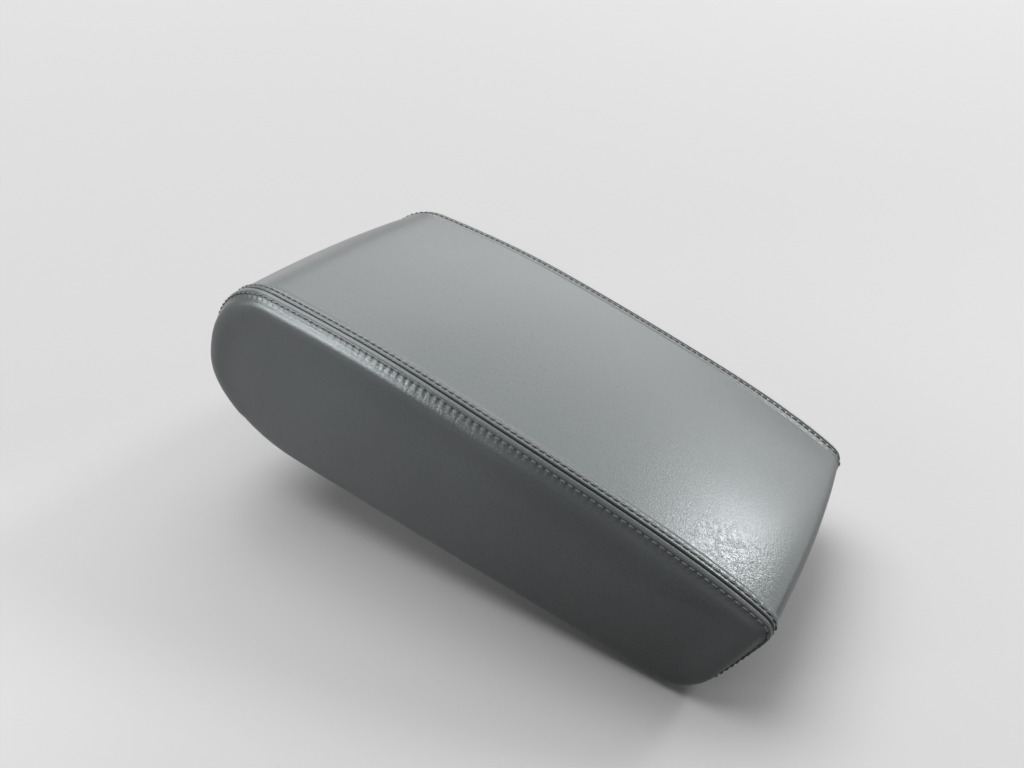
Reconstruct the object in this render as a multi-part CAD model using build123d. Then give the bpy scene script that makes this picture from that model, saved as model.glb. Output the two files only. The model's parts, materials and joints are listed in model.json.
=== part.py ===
import os
from math import cos, radians, sin

from build123d import *

os.makedirs("parts", exist_ok=True)

# Cushion outline seen from the side, in the lid's frame: Y from front to rear, Z up from the underside
tip_y = -21.0
tip_z = 61.0
rise_points = ((14.0, 73.0), (84.0, 86.5), (167.0, 98.0))
top_y = 283.0
top_z = 104.5
end_y = 329.5
end_mid_z = 44.0
low_y = 262.0
tip_r = 8.0
front_corner_r = 30.0
crown = 3.0

# Cushion outline across: half width in the middle, and how the front and rear differ from it
body_half = 83.0
front_narrow = 10.0
rear_narrow = 0.5
flare = (14.0, 6.0, 3.0)
seam_shift = (2.5, -2.5, -3.5)
side_bow = 2.0
edge_r = 6.5
high_z = 110.0
side_margin = 14.0
end_margin = 20.0

# Skins and clearances
leather_t = 2.0
seam_gap = 0.8
fit_gap = 0.3
seat_gap = 0.1
run_gap = 0.05

# Underside trim
trim_t = leather_t
trim_front_y = 14.0
trim_rear_y = 306.0
trim_cut_z = 20.0

# Core tray
tray_wall = 3.0
tray_top_z = 42.0
tray_plate_t = 4.0
tray_flange = 9.0
rib_t = 2.5
rib_low_z = 9.0
long_rib_x = 44.0
cross_rib_y = (95.0, 160.0, 215.0)

# Trim screws and their bosses
trim_screw_places = ((21.0, 62.0), (16.0, 145.0), (21.0, 245.0))
trim_screw_xy = [(body_half - inset, y) for inset, y in trim_screw_places]
boss_r = 5.5
trim_screw_r = 1.9
trim_screw_len = 16.0
trim_head_r = 3.8
trim_head_h = 2.0

# Rubber bumpers
bumper_inset = 26.0
bumper_x = body_half - bumper_inset
bumper_front_y = 36.0
bumper_rear_y = 218.0
bumper_r = 6.0
bumper_h = 4.0
bumper_round = 2.2
bumper_stem_r = 2.5
bumper_stem_len = 6.0

# Hinge
lid_tilt = 8.0
pin_y = 288.0
pin_z = 20.0
pin_r = 4.0
pin_head_r = 6.2
pin_head_t = 2.4
bush_wall = 1.5
bush_flange_t = 1.4
bush_flange_r = 8.0
arm_in = 10.0
arm_t = 5.0
eye_r = 10.0
neck_len = 50.0
neck_back = 30.0
leg_front = 56.0
leg_back = 32.0
web_t = 4.0
foot_t = 4.0
foot_len = 66.0
foot_half = 30.0
foot_r = 6.0
bolt_dx = 44.0
bolt_dy = 46.0
bolt_hole_r = 3.3
washer_t = 1.0
washer_r = 9.0
ear_t = 3.0
ear_r = 8.5
leaf_t = 3.0
leaf_half = 42.0
leaf_front = 62.0
leaf_rear = 14.0
leaf_screw_r = 2.0
leaf_screw_x = 34.0
leaf_screw_head_r = 4.0
leaf_screw_head_h = 2.4
leaf_screw_y = (52.0, 4.0)
slot_half = 25.0
slot_front = 62.0
clip_t = 1.1
clip_groove = 0.8
clip_r = 6.5
clip_open = 4.4

# Release latch
latch_y = 48.0
latch_z = 22.0
latch_pin_r = 2.0
hub_r = 5.0
hub_half = 14.0
lug_t = 3.0
paddle_half = 22.0
paddle_front = 25.0
paddle_back = 7.0
paddle_t = 3.0
paddle_low = 0.3
paddle_gap = 2.0
lever_half = 8.0
hook_t = 5.0
hook_reach = 9.0
hook_low = 5.0
hook_nose_h = 4.0
striker_half = 11.0
striker_reach = 28.0
spring_t = 0.6
spring_half = 3.0
spring_bend_r = 3.0
spring_stem_y = 27.0
spring_seat_y = 34.0
spring_knee_z = 14.0
paddle_swing = 6.0

half_high = (body_half - front_narrow, body_half, body_half - rear_narrow)
half_low = tuple(half_high[i] + flare[i] for i in range(3))
seam_half = tuple(half_high[i] + seam_shift[i] for i in range(3))
station_y = (tip_y - end_margin, (tip_y + end_y) / 2, end_y + end_margin)
span_x = max(half_low) + side_margin


def shifted(y, z, angle):
    """Turn a side-view point about the origin."""
    c = cos(radians(angle))
    s = sin(radians(angle))
    return (y * c - z * s, y * s + z * c)


def side_section(x, grow):
    """Closed side outline at one X, moved outward by grow."""
    tip = (tip_y - grow, tip_z + grow)
    knots = [tip]
    for y, z in rise_points:
        knots.append((y, z + grow))
    crest = (top_y, top_z + grow)
    knots.append(crest)
    end = (end_y + grow, end_mid_z)
    low = (low_y, -grow)
    corner = (-grow * 1.3, -grow)
    first = rise_points[0]
    top = Spline(*knots, tangents=[(first[0] - tip_y, (first[1] - tip_z) * 1.35), (1, 0)])
    rear_high = EllipticalCenterArc(
        (top_y, end_mid_z), end[0] - top_y, crest[1] - end_mid_z, start_angle=0, arc_size=90
    )
    rear_low = EllipticalCenterArc(
        (low_y, end_mid_z), end[0] - low_y, end_mid_z - low[1], start_angle=270, arc_size=90
    )
    face = make_face([top, rear_high, rear_low, Line(low, corner), Line(corner, tip)])
    verts = face.vertices()
    nose = verts.sort_by_distance((tip[0], tip[1], 0))[0]
    face = fillet(nose, tip_r)
    foot = face.vertices().sort_by_distance((corner[0], corner[1], 0))[0:2]
    bottom = [v for v in foot if abs(v.X - corner[0]) < 0.01 and abs(v.Y - corner[1]) < 0.01]
    face = fillet(bottom, front_corner_r + grow)
    return Plane.YZ.offset(x) * face


def across_section(i, inset):
    """Closed cross section of the side walls at one station."""
    high = half_high[i] - inset
    low = half_low[i] - inset
    mid = (high + low) / 2 + side_bow
    z_low = -20.0
    slope = (high - low) / high_z
    foot = low + slope * z_low
    head_z = high_z + 15.0
    head = high + slope * 15.0
    right = ThreePointArc((foot, z_low), (mid, (z_low + head_z) / 2), (head, head_z))
    left = ThreePointArc((-head, head_z), (-mid, (z_low + head_z) / 2), (-foot, z_low))
    face = make_face([Line((-foot, z_low), (foot, z_low)), right, Line((head, head_z), (-head, head_z)), left])
    return Plane(origin=(0, station_y[i], 0), x_dir=(1, 0, 0), z_dir=(0, -1, 0)) * face


def cushion(inset):
    """Whole cushion shape, shrunk by inset on every side."""
    outer = 1 - (span_x / seam_half[1]) ** 2
    sections = [
        side_section(-span_x, crown * outer - inset),
        side_section(0, crown - inset),
        side_section(span_x, crown * outer - inset),
    ]
    long_form = loft(sections)
    walls = loft([across_section(i, inset) for i in range(3)])
    flat = Pos(0, 0, inset) * Box(400, 900, 300, align=(Align.CENTER, Align.CENTER, Align.MIN))
    body = (long_form & walls & flat).solid()
    rims = [e for e in body.edges() if abs(e.center().X) > span_x * 0.3]
    return fillet(rims, edge_r - inset)


def seam_block(grow):
    """Upright block inside the two seam lines."""
    right = Spline(*[(seam_half[i] + grow, station_y[i]) for i in range(3)])
    left = Spline(*[(-seam_half[i] - grow, station_y[i]) for i in (2, 1, 0)])
    front = Line((-seam_half[0] - grow, station_y[0]), (seam_half[0] + grow, station_y[0]))
    rear = Line((seam_half[2] + grow, station_y[2]), (-seam_half[2] - grow, station_y[2]))
    plan = make_face([front, right, rear, left])
    return Pos(0, 0, -30) * extrude(plan, 200)


def block(x0, x1, y0, y1, z0, z1):
    """Box between two corners."""
    return Pos((x0 + x1) / 2, (y0 + y1) / 2, (z0 + z1) / 2) * Box(x1 - x0, y1 - y0, z1 - z0)


def post(x, y, z0, z1, r):
    """Upright cylinder."""
    return Pos(x, y, (z0 + z1) / 2) * Cylinder(r, z1 - z0)


def rod(x0, x1, y, z, r):
    """Cylinder along X."""
    return Pos((x0 + x1) / 2, y, z) * Rot(Y=90) * Cylinder(r, x1 - x0)


def side_plate(x0, x1, points):
    """Flat plate with a side-view outline, between two X values."""
    face = make_face(Polyline(*points, close=True))
    return extrude(Plane.YZ.offset(x0) * face, x1 - x0)


def mirrored(shape):
    """The shape and its mirror image across the middle plane."""
    return shape + mirror(shape, Plane.YZ)


# Cushion skins
full = cushion(0)
skin = full - cushion(leather_t)
seam_in = seam_block(-seam_gap / 2)
seam_out = seam_block(seam_gap / 2)
below = block(-span_x, span_x, trim_front_y - fit_gap, trim_rear_y + fit_gap, -30, trim_cut_z)
cover_top = (skin & seam_in) - below
side_skin = skin - seam_out
right_half = block(0, 300, -300, 600, -100, 300)
cover_side_left = side_skin - right_half
cover_side_right = mirror(cover_side_left, Plane.YZ)

# Foam and core tray
core_inset = leather_t + fit_gap
core = cushion(core_inset)
foam_low = tray_top_z + fit_gap
foam_pad = core & block(-span_x, span_x, -300, 600, foam_low, 300)
tray_low = trim_t + seat_gap
plate_low = tray_top_z - tray_plate_t
tray_zone = block(-span_x, span_x, -300, 600, tray_low, tray_top_z)
room_zone = block(-span_x, span_x, -300, 600, -30, plate_low)
room = cushion(core_inset + tray_wall)
slot_y0 = pin_y - slot_front
mouth_x = min(seam_half) - tray_flange
paddle_y0 = latch_y - paddle_front
paddle_y1 = latch_y - paddle_back
mouth_y0 = paddle_y0 - paddle_swing
mouth = block(-mouth_x, mouth_x, mouth_y0, trim_rear_y - tray_flange, -30, trim_cut_z)
hinge_slot = block(-slot_half, slot_half, slot_y0, trim_rear_y - fit_gap * 4, -30, plate_low)
ribs = block(-rib_t / 2, rib_t / 2, cross_rib_y[0], cross_rib_y[-1], rib_low_z, plate_low)
ribs = ribs + mirrored(
    block(long_rib_x - rib_t / 2, long_rib_x + rib_t / 2, latch_y + 30, cross_rib_y[-1], rib_low_z, plate_low)
)
for y in cross_rib_y:
    ribs = ribs + block(-span_x, span_x, y - rib_t / 2, y + rib_t / 2, rib_low_z, plate_low)
bosses = []
for x, y in trim_screw_xy:
    bosses.append(post(x, y, tray_low, plate_low, boss_r))
    bosses.append(post(-x, y, tray_low, plate_low, boss_r))
lug_in = hub_half + run_gap * 4
lug_points = [
    (latch_y - hub_r, plate_low),
    (latch_y - hub_r, latch_z - hub_r),
    (latch_y + hub_r, latch_z - hub_r),
    (latch_y + hub_r, plate_low),
]
lugs = mirrored(side_plate(lug_in, lug_in + lug_t, lug_points))
inner = (room & room_zone) - (ribs + bosses + lugs)
core_tray = (core & tray_zone) - inner - mouth.cut(ribs + bosses + lugs) - hinge_slot
for x, y in trim_screw_xy:
    for side in (1, -1):
        core_tray = core_tray - post(side * x, y, -1, trim_screw_len + 2, trim_screw_r + run_gap)
core_tray = core_tray - rod(-50, 50, latch_y, latch_z, latch_pin_r + run_gap / 2)

# Underside trim and its screws and bumpers
trim_zone = block(-span_x, span_x, trim_front_y, trim_rear_y, -30, trim_cut_z)
trim_shell = full - cushion(trim_t)
lower_cover = trim_shell & trim_zone & seam_block(-seam_gap)
lower_cover = lower_cover - hinge_slot
lower_cover = lower_cover - block(
    -paddle_half - 1, paddle_half + 1, paddle_y0 - paddle_gap, paddle_y1 + 1, -30, trim_cut_z
)
lower_cover = lower_cover - block(
    -striker_half, striker_half, paddle_y1, latch_y + striker_reach, -30, trim_cut_z
)
trim_screws = []
for x, y in trim_screw_xy:
    for side in (1, -1):
        lower_cover = lower_cover - post(side * x, y, -1, trim_t + 1, trim_screw_r + fit_gap)
        shank = post(side * x, y, -run_gap, trim_screw_len, trim_screw_r)
        head = post(side * x, y, -run_gap - trim_head_h, -run_gap, trim_head_r)
        head = chamfer(head.edges().sort_by(Axis.Z)[0], trim_head_h * 0.45)
        trim_screws.append(head + shank)
bumpers = {}
for end, y in (("front", bumper_front_y), ("rear", bumper_rear_y)):
    for side, x in (("left", -bumper_x), ("right", bumper_x)):
        pad = post(x, y, -bumper_h, -run_gap, bumper_r)
        pad = chamfer(pad.edges().sort_by(Axis.Z)[0], bumper_round)
        pad = pad + post(x, y, -run_gap, bumper_stem_len, bumper_stem_r)
        bumpers["bumper_" + end + "_" + side] = pad
        lower_cover = lower_cover - post(x, y, -1, trim_t + 1, bumper_stem_r + run_gap)

# Hinge leaf, pin and clip, on the lid
washer_in = arm_in + arm_t + run_gap * 3
ear_in = washer_in + washer_t + run_gap * 3
ear_out = ear_in + ear_t
leaf_high = plate_low - run_gap
leaf_low = leaf_high - leaf_t
leaf = block(-leaf_half, leaf_half, pin_y - leaf_front, pin_y + leaf_rear, leaf_low, leaf_high)
leaf = fillet(leaf.edges().filter_by(Axis.Z), 6)
ear = rod(ear_in, ear_out, pin_y, pin_z, ear_r)
ear = ear + block(ear_in, ear_out, pin_y - ear_r, pin_y + ear_r, pin_z, leaf_low)
hinge_leaf = leaf + mirrored(ear)
hinge_leaf = hinge_leaf - rod(-50, 50, pin_y, pin_z, pin_r + run_gap / 2)
leaf_screws = []
for dy in leaf_screw_y:
    for side in (1, -1):
        x = side * leaf_screw_x
        y = pin_y - dy
        hinge_leaf = hinge_leaf - post(x, y, leaf_low - 1, leaf_high + 1, leaf_screw_r + fit_gap)
        core_tray = core_tray - post(x, y, plate_low - 1, tray_top_z - 0.6, leaf_screw_r + run_gap)
        shank = post(x, y, leaf_low - run_gap, tray_top_z - 0.8, leaf_screw_r)
        head = post(x, y, leaf_low - run_gap - leaf_screw_head_h, leaf_low - run_gap, leaf_screw_head_r)
        head = chamfer(head.edges().sort_by(Axis.Z)[0], leaf_screw_head_h * 0.45)
        leaf_screws.append(head + shank)
groove_x = ear_out + run_gap * 2
pin_end = groove_x + clip_t + 1.8
hinge_pin = rod(-ear_out - run_gap, pin_end, pin_y, pin_z, pin_r)
pin_head = rod(-ear_out - run_gap - pin_head_t, -ear_out - run_gap, pin_y, pin_z, pin_head_r)
hinge_pin = hinge_pin + chamfer(pin_head.edges().sort_by(Axis.X)[0], 0.6)
groove_r = pin_r - clip_groove
groove = rod(groove_x, groove_x + clip_t, pin_y, pin_z, pin_r + 1)
hinge_pin = hinge_pin - (groove - rod(groove_x - 1, groove_x + clip_t + 1, pin_y, pin_z, groove_r))
clip_x0 = groove_x + run_gap
clip_x1 = groove_x + clip_t - run_gap
pin_clip = rod(clip_x0, clip_x1, pin_y, pin_z, clip_r)
pin_clip = pin_clip - rod(clip_x0 - 1, clip_x1 + 1, pin_y, pin_z, groove_r + run_gap)
pin_clip = pin_clip - block(
    clip_x0 - 1, clip_x1 + 1, pin_y - clip_open / 2, pin_y + clip_open / 2, pin_z - 20, pin_z
)

# Release lever, its pin and its spring
hub = rod(-hub_half, hub_half, latch_y, latch_z, hub_r)
paddle = block(-paddle_half, paddle_half, paddle_y0, paddle_y1, paddle_low, paddle_low + paddle_t)
paddle = fillet(paddle.edges().filter_by(Axis.Z), 4)
lever_arm = side_plate(
    -lever_half,
    lever_half,
    [
        (latch_y - hub_r, latch_z),
        (paddle_y1 - 5, paddle_low + paddle_t),
        (paddle_y1 - 5, paddle_low + 1),
        (paddle_y1, paddle_low + 1),
        (latch_y + hub_r - 2, latch_z - hub_r + 1),
    ],
)
hook = side_plate(
    -lever_half,
    lever_half,
    [
        (latch_y - hook_t / 2, latch_z),
        (latch_y - hook_t / 2, hook_low),
        (latch_y + hook_reach, hook_low),
        (latch_y + hook_reach - 1.5, hook_low + hook_nose_h),
        (latch_y + hook_t / 2, hook_low + hook_nose_h),
        (latch_y + hook_t / 2, latch_z),
    ],
)
latch_lever = hub + paddle + lever_arm + hook
latch_lever = latch_lever - rod(-50, 50, latch_y, latch_z, latch_pin_r + run_gap)
latch_pin = rod(-lug_in - lug_t - 1, lug_in + lug_t + 1, latch_y, latch_z, latch_pin_r)
spring_top = plate_low - spring_t / 2 - seat_gap
spring_foot = paddle_low + paddle_t + spring_t / 2 + seat_gap
spring_line = FilletPolyline(
    (latch_y - hub_r, spring_top),
    (spring_stem_y, spring_top),
    (spring_stem_y, spring_knee_z),
    (spring_seat_y - spring_bend_r * 2, spring_foot),
    (spring_seat_y, spring_foot),
    radius=spring_bend_r,
)
spring_strip = Plane.YZ.offset(-spring_half) * trace(spring_line, spring_t)
latch_spring = extrude(spring_strip, 2 * spring_half)

# Place the lid on its front bumpers, turned up at the rear about the hinge
lid_lift = -shifted(bumper_front_y - bumper_r + bumper_round, -bumper_h, lid_tilt)[1]
eye_y, eye_z = shifted(pin_y, pin_z, lid_tilt)
eye_z = eye_z + lid_lift

# Hinge bracket with its bushes and washers, standing on its foot
neck_top = shifted(-neck_len, eye_r, lid_tilt)
neck_low = shifted(-neck_back, -eye_r, lid_tilt)
eye_top = shifted(0, eye_r, lid_tilt)
eye_low = shifted(0, -eye_r, lid_tilt)
arm_points = [
    (eye_y + eye_top[0], eye_z + eye_top[1]),
    (eye_y + neck_top[0], eye_z + neck_top[1]),
    (eye_y - leg_front, 0),
    (eye_y - leg_back, 0),
    (eye_y + neck_low[0], eye_z + neck_low[1]),
    (eye_y + eye_low[0], eye_z + eye_low[1]),
]
arm = side_plate(arm_in, arm_in + arm_t, arm_points)
arm = arm + rod(arm_in, arm_in + arm_t, eye_y, eye_z, eye_r)
foot_y = eye_y - (leg_front + leg_back) / 2
foot = block(-foot_half, foot_half, foot_y - foot_len / 2, foot_y + foot_len / 2, 0, foot_t)
foot = fillet(foot.edges().filter_by(Axis.Z), foot_r)
web_points = [
    (eye_y - leg_front + web_t, 0),
    (eye_y - leg_front + 2 * web_t, 0),
    (eye_y + neck_top[0] + 2 * web_t, eye_z - eye_r),
    (eye_y + neck_top[0] + web_t, eye_z - eye_r),
]
web = side_plate(-arm_in, arm_in, web_points)
hinge_bracket = foot + mirrored(arm) + web
bush_r = pin_r + run_gap + bush_wall
hinge_bracket = hinge_bracket - rod(-50, 50, eye_y, eye_z, bush_r + run_gap / 2)
for side_x in (-1, 1):
    for side_y in (-1, 1):
        hinge_bracket = hinge_bracket - post(
            side_x * bolt_dx / 2, foot_y + side_y * bolt_dy / 2, -1, foot_t + 1, bolt_hole_r
        )
bush = rod(arm_in - bush_flange_t, arm_in + arm_t, eye_y, eye_z, bush_r)
bush = bush + rod(arm_in - bush_flange_t, arm_in - run_gap, eye_y, eye_z, bush_flange_r)
bush = bush - rod(-50, 50, eye_y, eye_z, pin_r + run_gap)
washer = rod(washer_in, washer_in + washer_t, eye_y, eye_z, washer_r)
washer = washer - rod(-50, 50, eye_y, eye_z, pin_r + run_gap * 2)

lid_nodes = {
    "cover_top": cover_top,
    "cover_side_left": cover_side_left,
    "cover_side_right": cover_side_right,
    "foam_pad": foam_pad,
    "core_tray": core_tray,
    "lower_cover": lower_cover,
    "lower_cover_screws": Compound(children=trim_screws),
    "hinge_leaf": hinge_leaf,
    "leaf_screws": Compound(children=leaf_screws),
    "hinge_pin": hinge_pin,
    "pin_clip": pin_clip,
    "latch_lever": latch_lever,
    "latch_pin": latch_pin,
    "latch_spring": latch_spring,
}
lid_nodes.update(bumpers)
fixed_nodes = {
    "hinge_bracket": hinge_bracket,
    "bush_right": bush,
    "bush_left": mirror(bush, Plane.YZ),
    "washer_right": washer,
    "washer_left": mirror(washer, Plane.YZ),
}

# Middle of the whole part in Y goes to the origin
lid_place = Pos(0, 0, lid_lift) * Rot(X=lid_tilt)
front_most = (lid_place * cover_top).bounding_box().min.Y
rear_most = (lid_place * cover_top).bounding_box().max.Y
centre = Pos(0, -(front_most + rear_most) / 2, 0)
for name, shape in lid_nodes.items():
    export_step(centre * lid_place * shape, "parts/" + name + ".step")
for name, shape in fixed_nodes.items():
    export_step(centre * shape, "parts/" + name + ".step")
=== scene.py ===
# %% [markdown]
# # A car centre armrest in sewn leather
# The armrest is the lid of a centre console: a moulded core tray, foam on the tray, and leather sewn over
# the foam with twin-needle seams along both long edges. The construction is loaded first as a fixed frame.
# Nothing in it is moved here. What this lesson adds is the leather as soft, sewn panels, the thread in the
# seams, and a finish on every other piece.

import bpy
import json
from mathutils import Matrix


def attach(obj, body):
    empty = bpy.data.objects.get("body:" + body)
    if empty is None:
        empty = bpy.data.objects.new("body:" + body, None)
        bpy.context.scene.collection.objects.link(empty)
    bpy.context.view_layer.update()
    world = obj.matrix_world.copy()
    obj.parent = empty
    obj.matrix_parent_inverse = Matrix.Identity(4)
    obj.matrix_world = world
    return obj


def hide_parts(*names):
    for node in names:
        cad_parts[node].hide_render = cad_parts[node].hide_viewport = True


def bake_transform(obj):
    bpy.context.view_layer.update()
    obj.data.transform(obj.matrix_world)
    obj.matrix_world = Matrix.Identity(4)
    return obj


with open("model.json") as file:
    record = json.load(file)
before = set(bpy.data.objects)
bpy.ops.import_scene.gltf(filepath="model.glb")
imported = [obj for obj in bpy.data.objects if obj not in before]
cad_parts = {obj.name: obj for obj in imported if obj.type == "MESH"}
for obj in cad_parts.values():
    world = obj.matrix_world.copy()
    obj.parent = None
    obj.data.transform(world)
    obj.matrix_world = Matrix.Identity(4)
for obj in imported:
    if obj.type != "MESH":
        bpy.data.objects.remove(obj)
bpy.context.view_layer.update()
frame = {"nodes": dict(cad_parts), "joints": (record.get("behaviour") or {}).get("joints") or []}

# %% [markdown]
# ## A level bench
# The lid rests with its rear end raised by the hinge bracket. Modelling on a slope is awkward, so the panels
# are made in the lid's own level frame, the bench, and turned into place at the end. The hinge pin is known
# in both frames, and that is enough to tie one to the other.

# %% Tie the bench to the frame
import json
import math

import bpy
import numpy as np
from mathutils import Matrix, Vector, noise
from mathutils.bvhtree import BVHTree
from mathutils.kdtree import KDTree

mm = 0.001
lid_tilt = math.radians(8)
pin_on_bench = Vector((0, 288, 20)) * mm
hinge = next(j for j in frame["joints"] if j["name"] == "lid_hinge")
to_frame = Matrix.Translation(hinge["pos_m"]) @ Matrix.Rotation(lid_tilt, 4, "X")
to_frame = to_frame @ Matrix.Translation(-pin_on_bench)
to_bench = to_frame.inverted()
bpy.ops.object.select_all(action="DESELECT")
print("bench origin lies at", [round(v, 4) for v in to_frame.translation])

# %% [markdown]
# ## Something to snap to
# The leather has to lie exactly where the solid covers lie. In a window one would draw a new mesh over them
# with snapping turned on. A ray does the same job in code: it starts outside, points at the middle of the
# cushion, and stops on the cover. The leather covers and the underside trim go into one search tree.

# %% Search tree over the covers
cover_nodes = ("cover_top", "cover_side_left", "cover_side_right", "lower_cover")
skin_points = []
skin_faces = []
for cover in cover_nodes:
    solid = frame["nodes"][cover].data
    first = len(skin_points)
    skin_points += [to_bench @ v.co for v in solid.vertices]
    skin_faces += [[first + i for i in p.vertices] for p in solid.polygons]
skin = BVHTree.FromPolygons(skin_points, skin_faces)
print("cover faces to snap to:", len(skin_faces))

# %% [markdown]
# ## The seam line
# Seen from above, each seam is a gentle bow. Seen from the side it runs up the front face, over the front
# edge, along the top and round the rear end, where it is tucked further in. A spine in the middle of the
# cushion gives every ray its aim: rays fan out at both ends of the spine and stand upright in between, once
# round the whole side outline. A ray can slip into the joint between two covers, so it has one more on each
# side, and the outermost of the three places counts.

# %% Walk once round the side outline
spine_front, spine_rear, spine_z = 40 * mm, 262 * mm, 45 * mm
far_out = 250 * mm
seam_lip = 1 * mm
seam_bow = np.polyfit((-41 * mm, 154.25 * mm, 349.5 * mm), (75.5 * mm, 80.5 * mm, 79 * mm), 2)
probe_half = 0.9 * np.polyval(seam_bow, spine_front)
joint_width = 0.8 * mm
rear_tuck, tuck_from, tuck_length = 7 * mm, 290 * mm, 58 * mm
fan_rays, run_rays = 240, 300


def run_along(points):
    """Length along a line up to each of its points."""
    return np.concatenate([[0], np.cumsum(np.linalg.norm(np.diff(points, axis=0), axis=1))])


def outline_hit(x, y, angle):
    """Outermost point of the cover on a ray aimed at the spine and on its two neighbours."""
    out = Vector((0, math.cos(angle), math.sin(angle)))
    hits = [
        skin.ray_cast(Vector((x + aside, y, spine_z)) + out * far_out, -out)
        for aside in (0, -joint_width, joint_width)
    ]
    return min((hit for hit in hits if hit[0]), key=lambda hit: hit[3])[0]


def seam_point(side, y, angle, shift=0.0):
    """Point of the seam on one ray, moved outward from the middle by shift."""
    near = outline_hit(side * probe_half, y, angle)
    tucked = np.clip((near.y - tuck_from) / tuck_length, 0, 1) ** 2
    half = np.polyval(seam_bow, near.y) - rear_tuck * tucked
    inner = outline_hit(side * (half - seam_lip), y, angle)
    outer = outline_hit(side * (half + seam_lip), y, angle)
    middle = (inner + outer) / 2
    return Vector((side * (half + shift), middle.y, middle.z))


fan_angles = np.linspace(1.5 * math.pi, 0.5 * math.pi, fan_rays, endpoint=False)
run_places = np.linspace(spine_front, spine_rear, run_rays, endpoint=False)
rays = [(spine_front, a) for a in fan_angles]
rays += [(y, math.pi / 2) for y in run_places]
rays += [(spine_rear, a - math.pi) for a in fan_angles]
rays += [(spine_rear, -math.pi / 2)]
ray_y, ray_angle = np.array(rays).T
seam_path = np.array([seam_point(1, y, a) for y, a in rays])
path_length = run_along(seam_path)
print("outline from front underside to rear underside: %.3f m" % path_length[-1])

# %% [markdown]
# ## One row of the panel for each stitch
# The seam is sewn with a stitch about every 4 mm. If the panels have exactly one row of faces for each
# stitch, two subdivisions later every needle hole falls on a vertex, and the puckers line up with the thread.
# The top strip ends where the underside trim starts, at the front and at the rear.

# %% Rows, counted in stitches
stitch_pitch = 4.2 * mm
strip_front_y, strip_rear_y = 13.2 * mm, 306.8 * mm
strip_first = next(i for i, p in enumerate(seam_path) if p[1] < strip_front_y)
strip_last = max(i for i, p in enumerate(seam_path) if p[1] > strip_rear_y)
sewn_from, sewn_to = path_length[strip_first], path_length[strip_last]
stitches = round((sewn_to - sewn_from) / stitch_pitch)
stitch_length = (sewn_to - sewn_from) / stitches


def rays_at(lengths):
    """Rays that meet the seam at these lengths along it."""
    return list(zip(np.interp(lengths, path_length, ray_y), np.interp(lengths, path_length, ray_angle)))


strip_lengths = np.linspace(sewn_from, sewn_to, stitches + 1)
strip_rays = rays_at(strip_lengths)
print("stitches in a row: %d, each %.2f mm" % (stitches, stitch_length / mm))

# %% [markdown]
# The side panel goes all the way round, so it needs rows along the bottom too. Upper and lower rows meet on
# the spine, and they can only be welded there if they stand at the same places along it.

# %% Rows round the whole side
front_lengths = np.linspace(0, sewn_from, round(sewn_from / stitch_pitch), endpoint=False)
rear_count = round((path_length[-1] - sewn_to) / stitch_pitch)
rear_lengths = np.linspace(sewn_to, path_length[-1], rear_count + 1)[1:]
upright = [y for y, a in strip_rays if abs(a - math.pi / 2) < 1e-6]
below = [y for y in reversed(upright) if spine_front < y < spine_rear]
below_lengths = [path_length[-1] + spine_rear - y for y in below]
side_rays = rays_at(front_lengths) + strip_rays + rays_at(rear_lengths)
side_rays += [(y, -math.pi / 2) for y in below]
side_lengths = np.concatenate([front_lengths, strip_lengths, rear_lengths, below_lengths]) - sewn_from
sewn_rows = range(len(front_lengths), len(front_lengths) + len(strip_rays))
print("rows round a side panel:", len(side_rays))

# %% [markdown]
# ## Lines across the panels
# Each row is a line across the leather that starts at the seam. On the top strip it runs to the other seam.
# On a side panel it goes over the rounded shoulder, down the wall and ends on the spine. The line is found
# with many rays and then divided: closely near the seam, where the sewing shapes the leather, and in long
# steps further in.

# %% Divide a line from the seam inward
sewn_stops = np.array((0, 0.6, 1.4, 2.5, 3.9, 5.4, 7.2, 9.4, 12.0)) * mm
half_gap = 0.15 * mm
shoulder_depth = 16 * mm
shoulder_turns = np.radians(np.arange(42, 0, -2))
strip_probes, wall_probes, far_steps = 40, 24, 5


def divide(points):
    """Points along a line, close together first: rows of x, y, z and the distance from the seam."""
    points = np.array(points)
    run = run_along(points)
    stops = np.concatenate([sewn_stops, np.linspace(sewn_stops[-1], run[-1], far_steps + 1)[1:]])
    where = [np.interp(stops, run, points[:, i]) for i in range(3)]
    return np.column_stack(where + [stops])


def strip_line(side, y, angle):
    """Line from one seam to the middle of the top strip."""
    start = seam_point(side, y, angle, -half_gap)
    reach = abs(start.x) - seam_lip
    inner = [outline_hit(side * x, y, angle) for x in np.linspace(reach, 0, strip_probes)]
    return divide([start] + inner)


def side_line(side, y, angle):
    """Line from the seam over the shoulder and down the wall to the spine."""
    start = seam_point(side, y, angle, half_gap)
    out = Vector((0, math.cos(angle), math.sin(angle)))
    across = Vector((side, 0, 0))
    spine = Vector((0, y, spine_z))
    focus_x = abs(start.x) - shoulder_depth
    focus_r = (start - spine).dot(out) - shoulder_depth
    line = [start]
    for turn in shoulder_turns:
        aim = out * math.sin(turn) + across * math.cos(turn)
        focus = spine + out * focus_r + across * focus_x
        line.append(skin.ray_cast(focus + aim * far_out, -aim)[0])
    for r in np.linspace(focus_r, 0, wall_probes):
        line.append(skin.ray_cast(spine + out * r + across * far_out, -across)[0])
    return divide(line)


strip_rows = []
for y, a in strip_rays:
    left, right = strip_line(-1, y, a), strip_line(1, y, a)
    strip_rows.append(np.concatenate([left, right[-2::-1]]))
side_rows = {s: [side_line(s, y, a) for y, a in side_rays] for s in (-1, 1)}
print("vertices across the strip:", len(strip_rows[0]), "and down a side:", len(side_rows[1][0]))

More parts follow.
